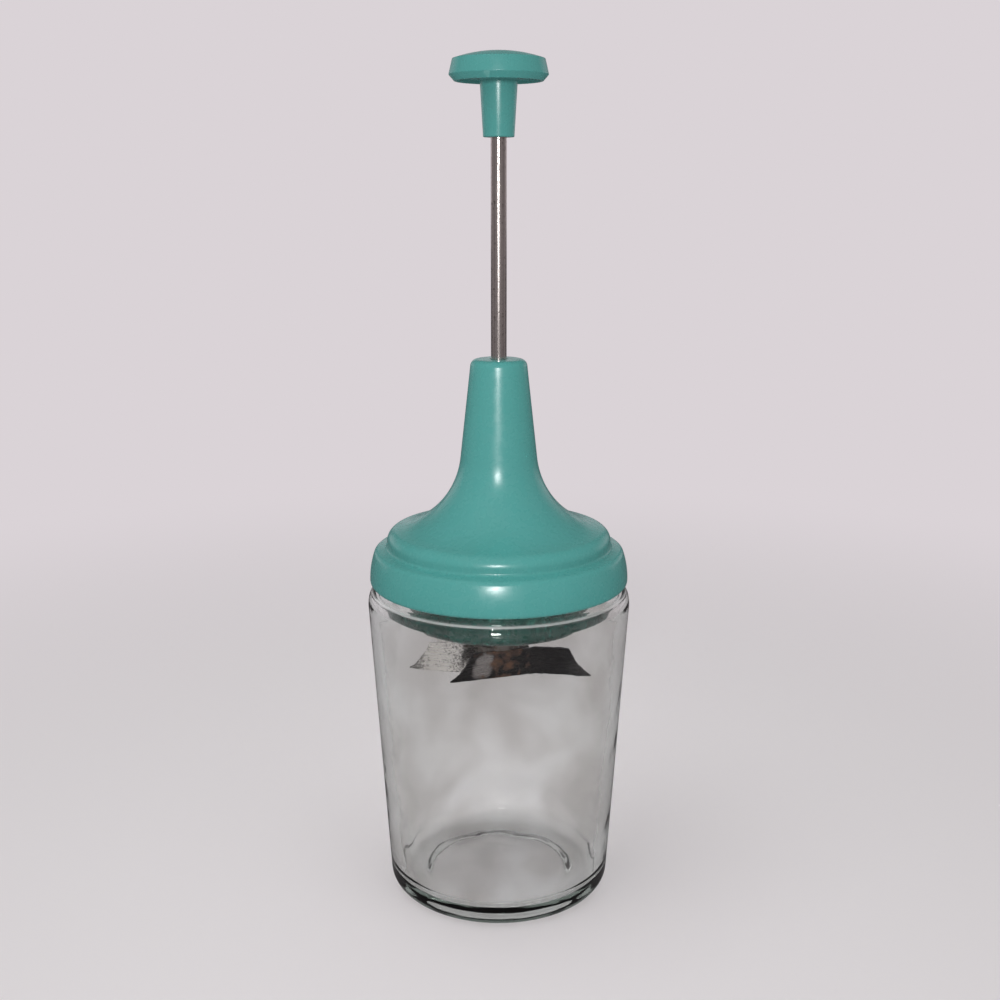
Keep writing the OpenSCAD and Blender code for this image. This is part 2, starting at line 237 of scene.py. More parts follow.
# ---------------------------------------------------------------- screw lid
def trumpet():
    """The trumpet curve: its radius and middle, the neck's lean, and how far round the tier it starts."""
    flare_r, washer_r, washer_gap = 24, 5.4, 0.85
    top_r, top_z = washer_r + washer_gap + LID_WALL, NECK_TOP_Z - NECK_TOP_T
    lean = math.radians(6)
    # the lean and the curve's middle depend on each other, so a few rounds settle them
    for _ in range(7):
        x = NECK_FOOT_R + flare_r * math.cos(lean)
        end = math.acos((x - TIER_R + TIER_ROUND) / (TIER_ROUND + flare_r))
        z = TIER_Z - TIER_ROUND + (TIER_ROUND + flare_r) * math.sin(end)
        lean = math.atan((NECK_FOOT_R - top_r) / (top_z - (z - flare_r * math.sin(lean))))
    return flare_r, x, z, lean, math.degrees(end)


def lid_profile():
    """Crowned skirt, rounded tier, trumpet and neck outside, then the rod's guide and the inside."""
    flare_r, x, z, lean, end = trumpet()
    foot_z = z - flare_r * math.sin(lean)
    tilt = math.degrees(lean)

    def neck(height):
        return NECK_FOOT_R - (height - foot_z) * math.tan(lean)

    foot_r, foot_ease = 1.2, 0.15
    skirt_foot = ([(SKIRT_FOOT_R, SKIRT_Z + foot_ease), (SKIRT_FOOT_R + foot_ease, SKIRT_Z)]
                  + arc(LID_R - foot_r, SKIRT_Z + foot_r, foot_r, -90, 0, 9))
    crown_x, crown_z, crown_over = LID_R - SKIRT_CROWN, SKIRT_Z + foot_r, 0.4
    crown_deg = math.degrees(math.asin((SEAT_Z + crown_over - crown_z) / SKIRT_CROWN))
    side = arc(crown_x, crown_z, SKIRT_CROWN, 1.5, crown_deg, 12)
    edge_r, crease_r, slope_deg = 1.8, 0.9, 14
    slope = math.radians(slope_deg)
    edge_x = crown_x + (SKIRT_CROWN - edge_r) * math.cos(math.radians(crown_deg))
    edge_z = crown_z + (SKIRT_CROWN - edge_r) * math.sin(math.radians(crown_deg))
    edge = arc(edge_x, edge_z, edge_r, crown_deg + 6, 90 - slope_deg, 8)
    crease_x = TIER_R + crease_r
    rise = edge_r + crease_r + (edge_x - crease_x) * math.sin(slope)
    crease = arc(crease_x, edge_z + rise / math.cos(slope), crease_r, 270 - slope_deg, 180, 8)
    tier = arc(TIER_R - TIER_ROUND, TIER_Z - TIER_ROUND, TIER_ROUND, 0, end, 14)
    flare = arc(x, z, flare_r, 180 + end, 180 + tilt, 28)[1:]
    corner = 2
    top_r = neck(NECK_TOP_Z - corner)
    neck_side = line((NECK_FOOT_R, foot_z), (top_r, NECK_TOP_Z - corner), 10)[1:]
    neck_top = arc(top_r - corner, NECK_TOP_Z - corner, corner, tilt, 90, 8)
    bore, in_top_z = ROD_R + RUN_GAP, NECK_TOP_Z - NECK_TOP_T
    guide = [(bore + BORE_EASE, NECK_TOP_Z), (bore, NECK_TOP_Z - BORE_EASE), (bore, in_top_z)]
    in_r = TIER_R - LID_WALL
    in_end_z = z - math.sqrt((flare_r + LID_WALL) ** 2 - (x - in_r) ** 2)
    in_end = math.degrees(math.atan2(in_end_z - z, in_r - x)) + 360
    inside = ([(neck(in_top_z) - LID_WALL, in_top_z)]
              + arc(x, z, flare_r + LID_WALL, 180 + tilt, in_end, 20) + [(in_r, SEAT_Z)]
              + line((SKIRT_IN_R, SEAT_Z), (SKIRT_FOOT_R, SKIRT_Z + foot_ease), 26))
    return skirt_foot + side + edge + crease + tier + flare + neck_side + neck_top + guide + inside


def lid_swell(r, z, a):
    """The lugs inside the skirt, which run under the jar's thread."""
    inside = SKIRT_IN_R + (SEAT_Z - z) / (SEAT_Z - SKIRT_Z) * (SKIRT_FOOT_R - SKIRT_IN_R)
    bare = 0.3
    if SKIRT_Z + bare < z < SEAT_Z - bare and abs(r - inside) < 0.05:
        return r - (inside - FINISH_R - LUG_GAP) * thread(z, a, LUG_DROP, 84, 180)
    return r


lid = lathe("lid_shell", lid_profile(), steps=192, swell=lid_swell)
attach(lid, "lid_body")
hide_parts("lid")


# ---------------------------------------------------------------- spring cup
def cup_profile():
    """Rounded foot and straight wall up to the flange, then the inside with the rod's lower guide."""
    floor_z, low_r, bore = CUP_Z + CUP_T, CUP_R - 0.3, ROD_R + RUN_GAP
    flange_r, flange_z = FINISH_R - 0.2, JAR_H + FACE_GAP
    foot_r, boss_r, boss_ease, boss_z = 1.5, 3.8, 0.3, floor_z + 5.4
    outside = ([(bore, CUP_Z + BORE_EASE), (bore + BORE_EASE, CUP_Z)]
               + arc(low_r - foot_r, CUP_Z + foot_r, foot_r, -90, 0, 8) + [(CUP_R, flange_z)])
    flange = [(flange_r, flange_z), (flange_r, FLANGE_TOP_Z), (CUP_R - CUP_T, FLANGE_TOP_Z)]
    inside = [(low_r - CUP_T, floor_z), (boss_r, floor_z), (boss_r, boss_z - boss_ease),
              (boss_r - boss_ease, boss_z), (bore + BORE_EASE, boss_z), (bore, boss_z - BORE_EASE)]
    return outside + flange + inside


cup = lathe("cup_shell", cup_profile())
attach(cup, "cup_body")
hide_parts("spring_cup")


# ---------------------------------------------------------------- push knob
def knob_profile():
    """The rod's blind hole, drafted stem, hollow underside, lip, chamfer, flared side and shallow dome."""
    disc_h, hollow, press_gap = 7.8, 0.8, 0.03
    disc_z, bore = KNOB_TOP_Z - disc_h, ROD_R + press_gap
    stem_r, draft, fillet, hole_ease = 4.28, 0.78, 0.7, 0.15
    root_r = stem_r + draft
    lip_r, crown_r, crown_z = KNOB_R - 1.3, KNOB_R - 0.9, disc_z + 5.8
    ease, chamfer = 0.3, 1.75
    dome = KNOB_TOP_Z - crown_z
    dome_r = ((crown_r - ease) ** 2 + dome ** 2) / (2 * dome)
    dome_deg = math.degrees(math.asin((crown_r - ease) / dome_r))
    hole = [(0, ROD_Z1 + FACE_GAP), (bore, ROD_Z1 + FACE_GAP)]
    stem = ([(bore, STEM_Z + hole_ease), (bore + hole_ease, STEM_Z)]
            + arc(stem_r - ease, STEM_Z + ease, ease, -90, 2, 5) + [(root_r, disc_z - 1)])
    under = arc(root_r + fillet, disc_z + hollow - fillet, fillet, 180, 90, 6)
    lip = ([(lip_r - 1.1, disc_z + hollow), (lip_r - 0.8, disc_z + 0.1), (lip_r - 0.65, disc_z)]
           + arc(lip_r - ease, disc_z + ease, ease, -90, -45, 4))
    rim = arc(KNOB_R - ease, disc_z + chamfer, ease, -45, 10, 5)
    crown = arc(crown_r - ease, crown_z - ease, ease, 5, 80, 5)
    top = arc(0, KNOB_TOP_Z - dome_r, dome_r, 90 - dome_deg + 1, 90, 16)
    return hole + stem + under + lip + rim + crown + top[:-1] + [(0, KNOB_TOP_Z)]


knob = lathe("push_knob", knob_profile())
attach(knob, "plunger_body")
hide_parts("knob")


# ---------------------------------------------------------------- plunger rod
def rod_profile():
    """Eased ends and the clip's groove."""
    groove, ease = 0.45, 0.3
    floor_r = ROD_R - groove
    low, high = CLIP_Z0 - FACE_GAP, CLIP_Z1 + FACE_GAP
    return ([(0, ROD_Z0), (ROD_R - ease, ROD_Z0), (ROD_R, ROD_Z0 + ease)]
            + line((ROD_R, ROD_Z0 + 1), (ROD_R, low), 10) + [(ROD_R, low), (floor_r, low), (floor_r, high)]
            + line((ROD_R, high), (ROD_R, ROD_Z1 - ease), 10)
            + [(ROD_R, ROD_Z1 - ease), (ROD_R - ease, ROD_Z1), (0, ROD_Z1)])


rod = lathe("rod_bar", rod_profile(), steps=72)
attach(rod, "plunger_body")
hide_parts("plunger_rod")


# ---------------------------------------------------------------- return spring
def wind_spring():
    """A conical coil: a flat end turn, the working turns, and a flat end turn under the washer."""
    wire, low_r, top_r = 1.0, 14.0, 4.6
    working, ends, rings, sides = 8, 0.75, 48, 10
    count = round((working + 2 * ends) * rings)
    points, faces = [], []
    for i in range(count + 1):
        turn = i / rings
        share = min(max((turn - ends) / working, 0), 1)
        r = low_r + (top_r - low_r) * share
        z = SPRING_Z0 + wire / 2 + (SPRING_Z1 - SPRING_Z0 - wire) * share
        a = 2 * math.pi * turn
        for k in range(sides):
            b = 2 * math.pi * k / sides
            out = r + wire / 2 * math.cos(b)
            points.append((out * math.cos(a), out * math.sin(a), z + wire / 2 * math.sin(b)))
    for i in range(count):
        for k in range(sides):
            m = (k + 1) % sides
            faces.append((i * sides + k, (i + 1) * sides + k, (i + 1) * sides + m, i * sides + m))
    faces.append(tuple(range(sides)))
    faces.append(tuple(count * sides + k for k in range(sides))[::-1])
    return keep("spring_coil", points, faces, 50)


spring = wind_spring()
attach(spring, "cup_body")
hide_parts("return_spring")
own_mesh(spring)


# ---------------------------------------------------------------- materials
def linear(colour):
    """Turns an sRGB hex colour to linear red, green, blue and alpha."""
    parts = [int(colour[i:i + 2], 16) / 255 for i in (1, 3, 5)]
    return [c / 12.92 if c <= 0.04045 else ((c + 0.055) / 1.055) ** 2.4 for c in parts] + [1]


def add(tree, kind, inputs=None, **settings):
    """Adds a node with its settings, and sets or links its inputs."""
    node = tree.nodes.new(kind)
    for name, value in settings.items():
        setattr(node, name, value)
    for name, value in (inputs or {}).items():
        if isinstance(value, bpy.types.NodeSocket):
            tree.links.new(value, node.inputs[name])
        else:
            node.inputs[name].default_value = value
    return node


def blank(name):
    """An empty material and its node tree."""
    material = bpy.data.materials.new(name)
    material.use_nodes = True
    material.node_tree.nodes.clear()
    return material, material.node_tree


def per_mm(size):
    """The texture scale, per metre, of a pattern whose features are this many millimetres apart."""
    return 1 / (size * MM)


def moulded_polystyrene(name, deep, mid, rubbed_tone):
    """Polystyrene, injection moulded in a polished mould: a clear gloss over one even colour, with a slight
    cloud in the pigment, a faint sink of the wall, and rubbed, paler corners from years of handling."""
    material, tree = blank(name)
    place = add(tree, "ShaderNodeTexCoord").outputs["Object"]
    cloud = add(tree, "ShaderNodeTexNoise",
                {"Vector": place, "Scale": per_mm(22), "Detail": 2.0}).outputs["Fac"]
    speck = add(tree, "ShaderNodeTexNoise",
                {"Vector": place, "Scale": per_mm(2.4), "Detail": 2.0}).outputs["Fac"]
    colour = add(tree, "ShaderNodeMix", {0: cloud, 6: linear(deep), 7: linear(mid)}, data_type="RGBA")
    point = add(tree, "ShaderNodeNewGeometry").outputs["Pointiness"]
    corner = add(tree, "ShaderNodeMapRange",
                 {"Value": point, "From Min": 0.52, "From Max": 0.57, "To Max": 0.6})
    rubbed = add(tree, "ShaderNodeMath", {0: corner.outputs[0], 1: speck}, operation="MULTIPLY").outputs[0]
    worn = add(tree, "ShaderNodeMix",
               {0: rubbed, 6: colour.outputs[2], 7: linear(rubbed_tone)}, data_type="RGBA")
    scuff = add(tree, "ShaderNodeMapRange", {"Value": speck, "From Min": 0.3, "From Max": 0.75,
                                             "To Min": 0.22, "To Max": 0.34})
    sink = add(tree, "ShaderNodeTexNoise",
               {"Vector": place, "Scale": per_mm(11), "Detail": 1.0}).outputs["Fac"]
    wavy = add(tree, "ShaderNodeBump", {"Height": sink, "Strength": 0.2, "Distance": 0.12 * MM})
    peel = add(tree, "ShaderNodeBump", {"Height": speck, "Strength": 0.06, "Distance": 0.03 * MM,
                                        "Normal": wavy.outputs[0]})
    surface = add(tree, "ShaderNodeBsdfPrincipled", {
        "Base Color": worn.outputs[2], "Roughness": scuff.outputs[0], "IOR": 1.59,
        "Normal": peel.outputs[0]})
    add(tree, "ShaderNodeOutputMaterial", {"Surface": surface.outputs[0]})
    return material


def pressed_glass():
    """Soda-lime glass pressed in an iron mould: clear with a breath of grey-green in the thick parts, and
    a skin that set unevenly and was dulled by years of washing, so what shows through it wavers and is
    faintly hazed, with painted caustics: soft patches of light and shade in its colour."""
    material, tree = blank("pressed_soda_lime_glass")
    place = add(tree, "ShaderNodeTexCoord").outputs["Object"]
    ripple = add(tree, "ShaderNodeTexNoise",
                 {"Vector": place, "Scale": per_mm(13), "Detail": 1.5}).outputs["Fac"]
    skin = add(tree, "ShaderNodeTexNoise",
               {"Vector": place, "Scale": per_mm(3), "Detail": 2.0}).outputs["Fac"]
    # painted caustics: soft patches that darken what shows through the glass, standing in for the mottled
    # light the wall throws
    painted_caustic_patches = add(tree, "ShaderNodeTexNoise", {"Vector": place, "Scale": per_mm(24), "Detail": 1.5,
                                               "Distortion": 0.6}).outputs["Fac"]
    cloud = add(tree, "ShaderNodeMapRange",
                {"Value": painted_caustic_patches, "From Min": 0.36, "From Max": 0.64}).outputs[0]
    painted_caustic_tint = add(tree, "ShaderNodeMix",
               {0: cloud, 6: linear("#ECEAE9"), 7: linear("#FFFFFF")}, data_type="RGBA")
    slow = add(tree, "ShaderNodeBump", {"Height": ripple, "Strength": 0.45, "Distance": 0.5 * MM})
    fine = add(tree, "ShaderNodeBump", {"Height": skin, "Strength": 0.12, "Distance": 0.1 * MM,
                                        "Normal": slow.outputs[0]})
    haze = add(tree, "ShaderNodeMapRange", {"Value": skin, "From Min": 0.45, "From Max": 0.8,
                                            "To Min": 0.0, "To Max": 0.05})
    # the mould's line on the shoulder is made partly opaque and pale: a painted highlight for the light
    # line the shoulder shows
    height = add(tree, "ShaderNodeSeparateXYZ", {0: place}).outputs["Z"]
    off = add(tree, "ShaderNodeMath", {0: height, 1: BEAD_Z * MM}, operation="SUBTRACT").outputs[0]
    away = add(tree, "ShaderNodeMath", {0: off}, operation="ABSOLUTE").outputs[0]
    flat = add(tree, "ShaderNodeVectorMath", {0: place, 1: (1, 1, 0)}, operation="MULTIPLY").outputs[0]
    reach = add(tree, "ShaderNodeVectorMath", {0: flat}, operation="LENGTH").outputs["Value"]
    outer = add(tree, "ShaderNodeMath",
                {0: reach, 1: (FINISH_R + 1) * MM}, operation="LESS_THAN").outputs[0]
    painted_highlight_seam = add(tree, "ShaderNodeMapRange", {"Value": away, "From Min": 0.15 * MM, "From Max": 0.45 * MM,
                                            "To Min": 0.62, "To Max": 1.0}).outputs[0]
    clear = add(tree, "ShaderNodeMath", {0: painted_highlight_seam, 1: outer}, operation="MAXIMUM").outputs[0]
    surface = add(tree, "ShaderNodeBsdfPrincipled", {
        "Base Color": painted_caustic_tint.outputs[2], "Roughness": haze.outputs[0], "IOR": 1.52,
        "Transmission Weight": clear, "Normal": fine.outputs[0]})
    # light lost per metre of glass is the density times what the colour lacks of white
    depth = add(tree, "ShaderNodeVolumeAbsorption", {"Color": linear("#C9D3CE"), "Density": 60.0})
    add(tree, "ShaderNodeOutputMaterial", {"Surface": surface.outputs[0], "Volume": depth.outputs[0]})
    return material


def drawn_rod():
    """Stainless bar, cold drawn: bright, with fine lines along it from the die and small pits where it was
    handled. The lines are drawn coarser than the die leaves them, so that they show."""
    material, tree = blank("drawn_stainless_rod")
    place = add(tree, "ShaderNodeTexCoord").outputs["Object"]
    along = add(tree, "ShaderNodeMapping",
                {"Vector": place, "Scale": (per_mm(0.35), per_mm(0.35), per_mm(30))})
    lines = add(tree, "ShaderNodeTexNoise",
                {"Vector": along.outputs[0], "Scale": 1.0, "Detail": 3.0}).outputs["Fac"]
    pits = add(tree, "ShaderNodeTexNoise",
               {"Vector": place, "Scale": per_mm(0.7), "Detail": 3.0}).outputs["Fac"]
    colour = add(tree, "ShaderNodeMix",
                 {0: lines, 6: linear("#C2B7B4"), 7: linear("#DCD4D1")}, data_type="RGBA")
    dark = add(tree, "ShaderNodeMapRange", {"Value": pits, "From Min": 0.6, "From Max": 0.72})
    spots = add(tree, "ShaderNodeMix", {0: dark.outputs[0], 6: colour.outputs[2], 7: linear("#8B847C")},
                data_type="RGBA")
    rough = add(tree, "ShaderNodeMapRange", {"Value": lines, "From Min": 0.3, "From Max": 0.7,
                                             "To Min": 0.16, "To Max": 0.3})
    relief = add(tree, "ShaderNodeBump", {"Height": lines, "Strength": 0.2, "Distance": 0.01 * MM})
    pitted = add(tree, "ShaderNodeBump", {"Height": pits, "Strength": 0.2, "Distance": 0.03 * MM,
                                          "Normal": relief.outputs[0]})
    surface = add(tree, "ShaderNodeBsdfPrincipled", {
        "Base Color": spots.outputs[2], "Metallic": 1.0, "Roughness": rough.outputs[0],
        "Normal": pitted.outputs[0]})
    add(tree, "ShaderNodeOutputMaterial", {"Surface": surface.outputs[0]})
    return material


def stamped_blade(name, dark, light, rubbed=0.0):
    """Carbon steel strip, stamped and ground: grinding lines along the strip, drawn coarser than the grit
    so that they show, a grainy film, darker towards the hub, a painted dark reflection at the ends, brown
    rust that has crept out from under the rivets, and on the front one a painted bright reflection, an oval
    beside them, as strong as rubbed says."""
    material, tree = blank(name)
    place = add(tree, "ShaderNodeTexCoord").outputs["Object"]
    along = add(tree, "ShaderNodeMapping",
                {"Vector": place, "Scale": (per_mm(14), per_mm(14), per_mm(0.3))})
    lines = add(tree, "ShaderNodeTexNoise",
                {"Vector": along.outputs[0], "Scale": 1.0, "Detail": 3.0}).outputs["Fac"]
    blotch = add(tree, "ShaderNodeTexNoise",
                 {"Vector": place, "Scale": per_mm(2.6), "Detail": 4.0}).outputs["Fac"]
    flat = add(tree, "ShaderNodeVectorMath", {0: place, 1: (1, 1, 0)}, operation="MULTIPLY").outputs[0]
    reach = add(tree, "ShaderNodeVectorMath", {0: flat}, operation="LENGTH").outputs["Value"]
    near = add(tree, "ShaderNodeMapRange", {"Value": reach, "From Min": 3 * MM, "From Max": 12 * MM,
                                            "To Min": 0.4, "To Max": 0.0}).outputs[0]
    mottle = add(tree, "ShaderNodeMath", {0: near, 1: blotch}, operation="ADD").outputs[0]
    rust = add(tree, "ShaderNodeMapRange", {"Value": mottle, "From Min": 0.72, "From Max": 0.92}).outputs[0]
    bare = add(tree, "ShaderNodeMix", {0: lines, 6: linear(dark), 7: linear(light)}, data_type="RGBA")
    grain = add(tree, "ShaderNodeTexNoise",
                {"Vector": place, "Scale": per_mm(0.55), "Detail": 3.0}).outputs["Fac"]
    hubward = add(tree, "ShaderNodeMapRange", {"Value": reach, "From Min": 9 * MM, "From Max": 18 * MM,
                                               "To Min": 0.26, "To Max": 0.0}).outputs[0]
    # painted dark reflection: the blade ends are darkened, standing in for the dark surface their bent tips
    # reflect; the blade is also darker towards the hub
    painted_dark_ends = add(tree, "ShaderNodeMapRange", {"Value": reach, "From Min": 20 * MM, "From Max": 26 * MM,
                                               "To Max": 0.4}).outputs[0]
    hubward_and_painted_dark_ends = add(tree, "ShaderNodeMath", {0: hubward, 1: painted_dark_ends}, operation="ADD").outputs[0]
    specks_and_painted_dark_ends = add(tree, "ShaderNodeMath", {0: grain, 1: hubward_and_painted_dark_ends}, operation="ADD").outputs[0]
    film = add(tree, "ShaderNodeMapRange", {"Value": specks_and_painted_dark_ends, "From Min": 0.58, "From Max": 0.82,
                                            "To Max": 0.8}).outputs[0]
    # the film colour, which also carries the painted dark reflection at the blade ends
    dulled = add(tree, "ShaderNodeMix",
                 {0: film, 6: bare.outputs[2], 7: linear("#2C2A29")}, data_type="RGBA")
    # painted reflection: a pale oval beside the rivets, mixed towards light steel, stands in for a bright
    # reflection on the front blade; rubbed sets how strong it is
    oval = add(tree, "ShaderNodeMapping", {
        "Vector": place, "Location": (-4.6 * MM, 0, 70.8 * MM), "Rotation": (0, math.radians(22), 0),
        "Scale": (2.9 * MM, 1, 4.7 * MM)}, vector_type="TEXTURE").outputs[0]
    inside = add(tree, "ShaderNodeVectorMath", {0: oval}, operation="LENGTH").outputs["Value"]
    ragged_painted_reflection = add(tree, "ShaderNodeMath", {0: blotch, 1: inside}, operation="ADD").outputs[0]
    painted_reflection_mask = add(tree, "ShaderNodeMapRange", {"Value": ragged_painted_reflection, "From Min": 1.2, "From Max": 1.6,
                                              "To Min": rubbed, "To Max": 0.0}).outputs[0]
    # the steel colour with the painted bright reflection mixed in
    steel = add(tree, "ShaderNodeMix",
                {0: painted_reflection_mask, 6: dulled.outputs[2], 7: linear("#9C9896")}, data_type="RGBA")
    brown = add(tree, "ShaderNodeMix",
                {0: blotch, 6: linear("#2E1F17"), 7: linear("#6B4830")}, data_type="RGBA")
    colour = add(tree, "ShaderNodeMix",
                 {0: rust, 6: steel.outputs[2], 7: brown.outputs[2]}, data_type="RGBA")
    clean = add(tree, "ShaderNodeMapRange", {"Value": rust, "To Min": 1.0, "To Max": 0.15}).outputs[0]
    ground = add(tree, "ShaderNodeMapRange", {"Value": lines, "From Min": 0.3, "From Max": 0.7,
                                              "To Min": 0.2, "To Max": 0.34}).outputs[0]
    rough = add(tree, "ShaderNodeMix", {0: rust, 2: ground, 3: 0.75}, data_type="FLOAT")
    relief = add(tree, "ShaderNodeBump", {"Height": lines, "Strength": 0.25, "Distance": 0.015 * MM})
    crust = add(tree, "ShaderNodeBump", {"Height": mottle, "Strength": 0.3, "Distance": 0.08 * MM,
                                         "Normal": relief.outputs[0]})
    surface = add(tree, "ShaderNodeBsdfPrincipled", {
        "Base Color": colour.outputs[2], "Metallic": clean, "Roughness": rough.outputs[0],
        "Normal": crust.outputs[0]})
    add(tree, "ShaderNodeOutputMaterial", {"Surface": surface.outputs[0]})
    return material


def turned_steel():
    """Free-cutting steel off a lathe: close rings from the tool, drawn coarser than its feed so that they
    show, and a grey film with brown spots."""
    material, tree = blank("turned_steel_dulled")
    place = add(tree, "ShaderNodeTexCoord").outputs["Object"]
    rings = add(tree, "ShaderNodeTexWave", {"Vector": place, "Scale": per_mm(0.5) / 20, "Distortion": 0.6},
                bands_direction="Z").outputs["Fac"]
    film = add(tree, "ShaderNodeTexNoise",
               {"Vector": place, "Scale": per_mm(2.2), "Detail": 4.0}).outputs["Fac"]
    spot = add(tree, "ShaderNodeMapRange", {"Value": film, "From Min": 0.56, "From Max": 0.74}).outputs[0]
    colour = add(tree, "ShaderNodeMix",
                 {0: spot, 6: linear("#6E6964"), 7: linear("#4A3526")}, data_type="RGBA")
    clean = add(tree, "ShaderNodeMapRange", {"Value": spot, "To Min": 1.0, "To Max": 0.4}).outputs[0]
    rough = add(tree, "ShaderNodeMapRange", {"Value": film, "To Min": 0.3, "To Max": 0.6}).outputs[0]
    relief = add(tree, "ShaderNodeBump", {"Height": rings, "Strength": 0.3, "Distance": 0.02 * MM})
    surface = add(tree, "ShaderNodeBsdfPrincipled", {
        "Base Color": colour.outputs[2], "Metallic": clean, "Roughness": rough,
        "Normal": relief.outputs[0]})
    add(tree, "ShaderNodeOutputMaterial", {"Surface": surface.outputs[0]})
    return material


def spring_wire():
    """Hard-drawn spring wire: grey, a little dark from the drawing soap, with lines round the coil."""
    material, tree = blank("hard_drawn_spring_wire")
    place = add(tree, "ShaderNodeTexCoord").outputs["Object"]
    soap = add(tree, "ShaderNodeTexNoise",
               {"Vector": place, "Scale": per_mm(1.2), "Detail": 3.0}).outputs["Fac"]
    colour = add(tree, "ShaderNodeMix",
                 {0: soap, 6: linear("#77746F"), 7: linear("#A5A29D")}, data_type="RGBA")
    rough = add(tree, "ShaderNodeMapRange", {"Value": soap, "To Min": 0.22, "To Max": 0.48}).outputs[0]
    relief = add(tree, "ShaderNodeBump", {"Height": soap, "Strength": 0.2, "Distance": 0.02 * MM})
    surface = add(tree, "ShaderNodeBsdfPrincipled", {
        "Base Color": colour.outputs[2], "Metallic": 1.0, "Roughness": rough, "Normal": relief.outputs[0]})
    add(tree, "ShaderNodeOutputMaterial", {"Surface": surface.outputs[0]})
    return material


def dress(piece, material):
    """Gives a piece one material, in place of what it came with."""
    piece.data.materials.clear()
    piece.data.materials.append(material)


plastic = moulded_polystyrene("moulded_polystyrene_turquoise", "#499690", "#519F9B", "#86BFB8")
# the lid's turquoise polystyrene painted deep teal for the cup: painted shade for the lid's shadow over it
plastic_painted_shade = moulded_polystyrene("moulded_polystyrene_painted_shade", "#0C362F", "#124239", "#35695F")
glass, rod_steel, hub_steel, wire_steel = pressed_glass(), drawn_rod(), turned_steel(), spring_wire()
# one stamped steel twice: near black on the front blade and the rivets as painted dark reflection, near
# white on the rear blade as painted bright reflection
blade_painted_dark = stamped_blade("stamped_steel_blade_painted_dark", "#121112", "#252425", rubbed=0.85)
blade_painted_bright = stamped_blade("stamped_steel_blade_painted_bright", "#D6D3CF", "#F4F2EE")
dress(lid, plastic)
dress(knob, plastic)
dress(cup, plastic_painted_shade)
dress(jar, glass)
jar.visible_shadow = False
dress(rod, rod_steel)
dress(spring, wire_steel)
for name, material in (("front_blade", blade_painted_dark), ("rear_blade", blade_painted_bright),
                       ("blade_hub", hub_steel), ("blade_rivets", blade_painted_dark),
                       ("stop_washer", hub_steel), ("retaining_clip", wire_steel)):
    dress(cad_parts[name], material)

# ---------------------------------------------------------------- camera
eye = bpy.data.cameras.new("eye")
eye.lens = 46.8
eye.sensor_width = 36
camera = bpy.data.objects.new("eye", eye)
camera.location = (0.00034, -0.3655, 0.2052)
camera.rotation_euler = (math.radians(76.63), 0, 0)
bpy.context.scene.collection.objects.link(camera)
bpy.context.scene.camera = camera

# ---------------------------------------------------------------- stage and light
PALE = linear("#DAD3D7")


def seen_directly(tree):
    """1 where the eye, a mirror or a look through glass meets the surface, 0 for light that spreads."""
    ray = add(tree, "ShaderNodeLightPath")
    first = add(tree, "ShaderNodeMath", {0: ray.outputs["Is Camera Ray"], 1: ray.outputs["Is Glossy Ray"]},
                operation="MAXIMUM").outputs[0]
    return add(tree, "ShaderNodeMath", {0: first, 1: ray.outputs["Is Transmission Ray"]},
               operation="MAXIMUM").outputs[0]


def in_mirror(tree):
    """1 for what a gloss or a metal mirrors, 0 for all else, also for a look through glass."""
    ray = add(tree, "ShaderNodeLightPath")
    return add(tree, "ShaderNodeMath",
               {0: ray.outputs["Is Glossy Ray"], 1: ray.outputs["Is Reflection Ray"]},
               operation="MULTIPLY").outputs[0]


def inside_wall(tree):
    """1 for what the near wall of the glass mirrors from its inner side: light that was mirrored, and that
    crossed the glass's outer side on the way in and out, but no further wall."""
    ray = add(tree, "ShaderNodeLightPath")
    mirrored = add(tree, "ShaderNodeMath", {0: ray.outputs["Glossy Depth"], 1: 0.5},
                   operation="GREATER_THAN").outputs[0]
    twice = add(tree, "ShaderNodeMath", {0: ray.outputs["Transmission Depth"], 1: 2.5},
                operation="LESS_THAN").outputs[0]
    return add(tree, "ShaderNodeMath", {0: mirrored, 1: twice}, operation="MULTIPLY").outputs[0]


def pale_floor():
    """Matt paper: it takes the shadow near the object and fades into the background further out. It is
    dim in what mirrors it, and in front also in what the glass mirrors from inside its wall, so that glass
    and gloss keep their depth."""
    material, tree = blank("matt_paper_floor")
    place = add(tree, "ShaderNodeTexCoord").outputs["Object"]
    reach = add(tree, "ShaderNodeVectorMath", {0: place}, operation="LENGTH").outputs["Value"]
    far = add(tree, "ShaderNodeMapRange", {"Value": reach, "From Min": 0.12, "From Max": 0.55},
              interpolation_type="SMOOTHSTEP").outputs[0]
    fade = add(tree, "ShaderNodeMath", {0: far, 1: seen_directly(tree)}, operation="MULTIPLY").outputs[0]
    paper = add(tree, "ShaderNodeBsdfPrincipled", {"Base Color": linear("#F2EDEF"), "Roughness": 0.9})
    glow = add(tree, "ShaderNodeEmission", {"Color": PALE, "Strength": 1.0})
    both = add(tree, "ShaderNodeMixShader", {0: fade, 1: paper.outputs[0], 2: glow.outputs[0]})
    dim = add(tree, "ShaderNodeEmission", {"Color": linear("#5E5A5C"), "Strength": 1.0})
    depth = add(tree, "ShaderNodeSeparateXYZ", {0: place}).outputs["Y"]
    front = add(tree, "ShaderNodeMapRange",
                {"Value": depth, "From Min": -0.03, "From Max": -0.13, "To Max": 0.7},
                interpolation_type="SMOOTHSTEP").outputs[0]
    veil = add(tree, "ShaderNodeMath", {0: front, 1: inside_wall(tree)}, operation="MULTIPLY").outputs[0]
    image = add(tree, "ShaderNodeMath", {0: in_mirror(tree), 1: veil}, operation="MAXIMUM").outputs[0]
    shown = add(tree, "ShaderNodeMixShader", {0: image, 1: both.outputs[0], 2: dim.outputs[0]})
    add(tree, "ShaderNodeOutputMaterial", {"Surface": shown.outputs[0]})
    return material


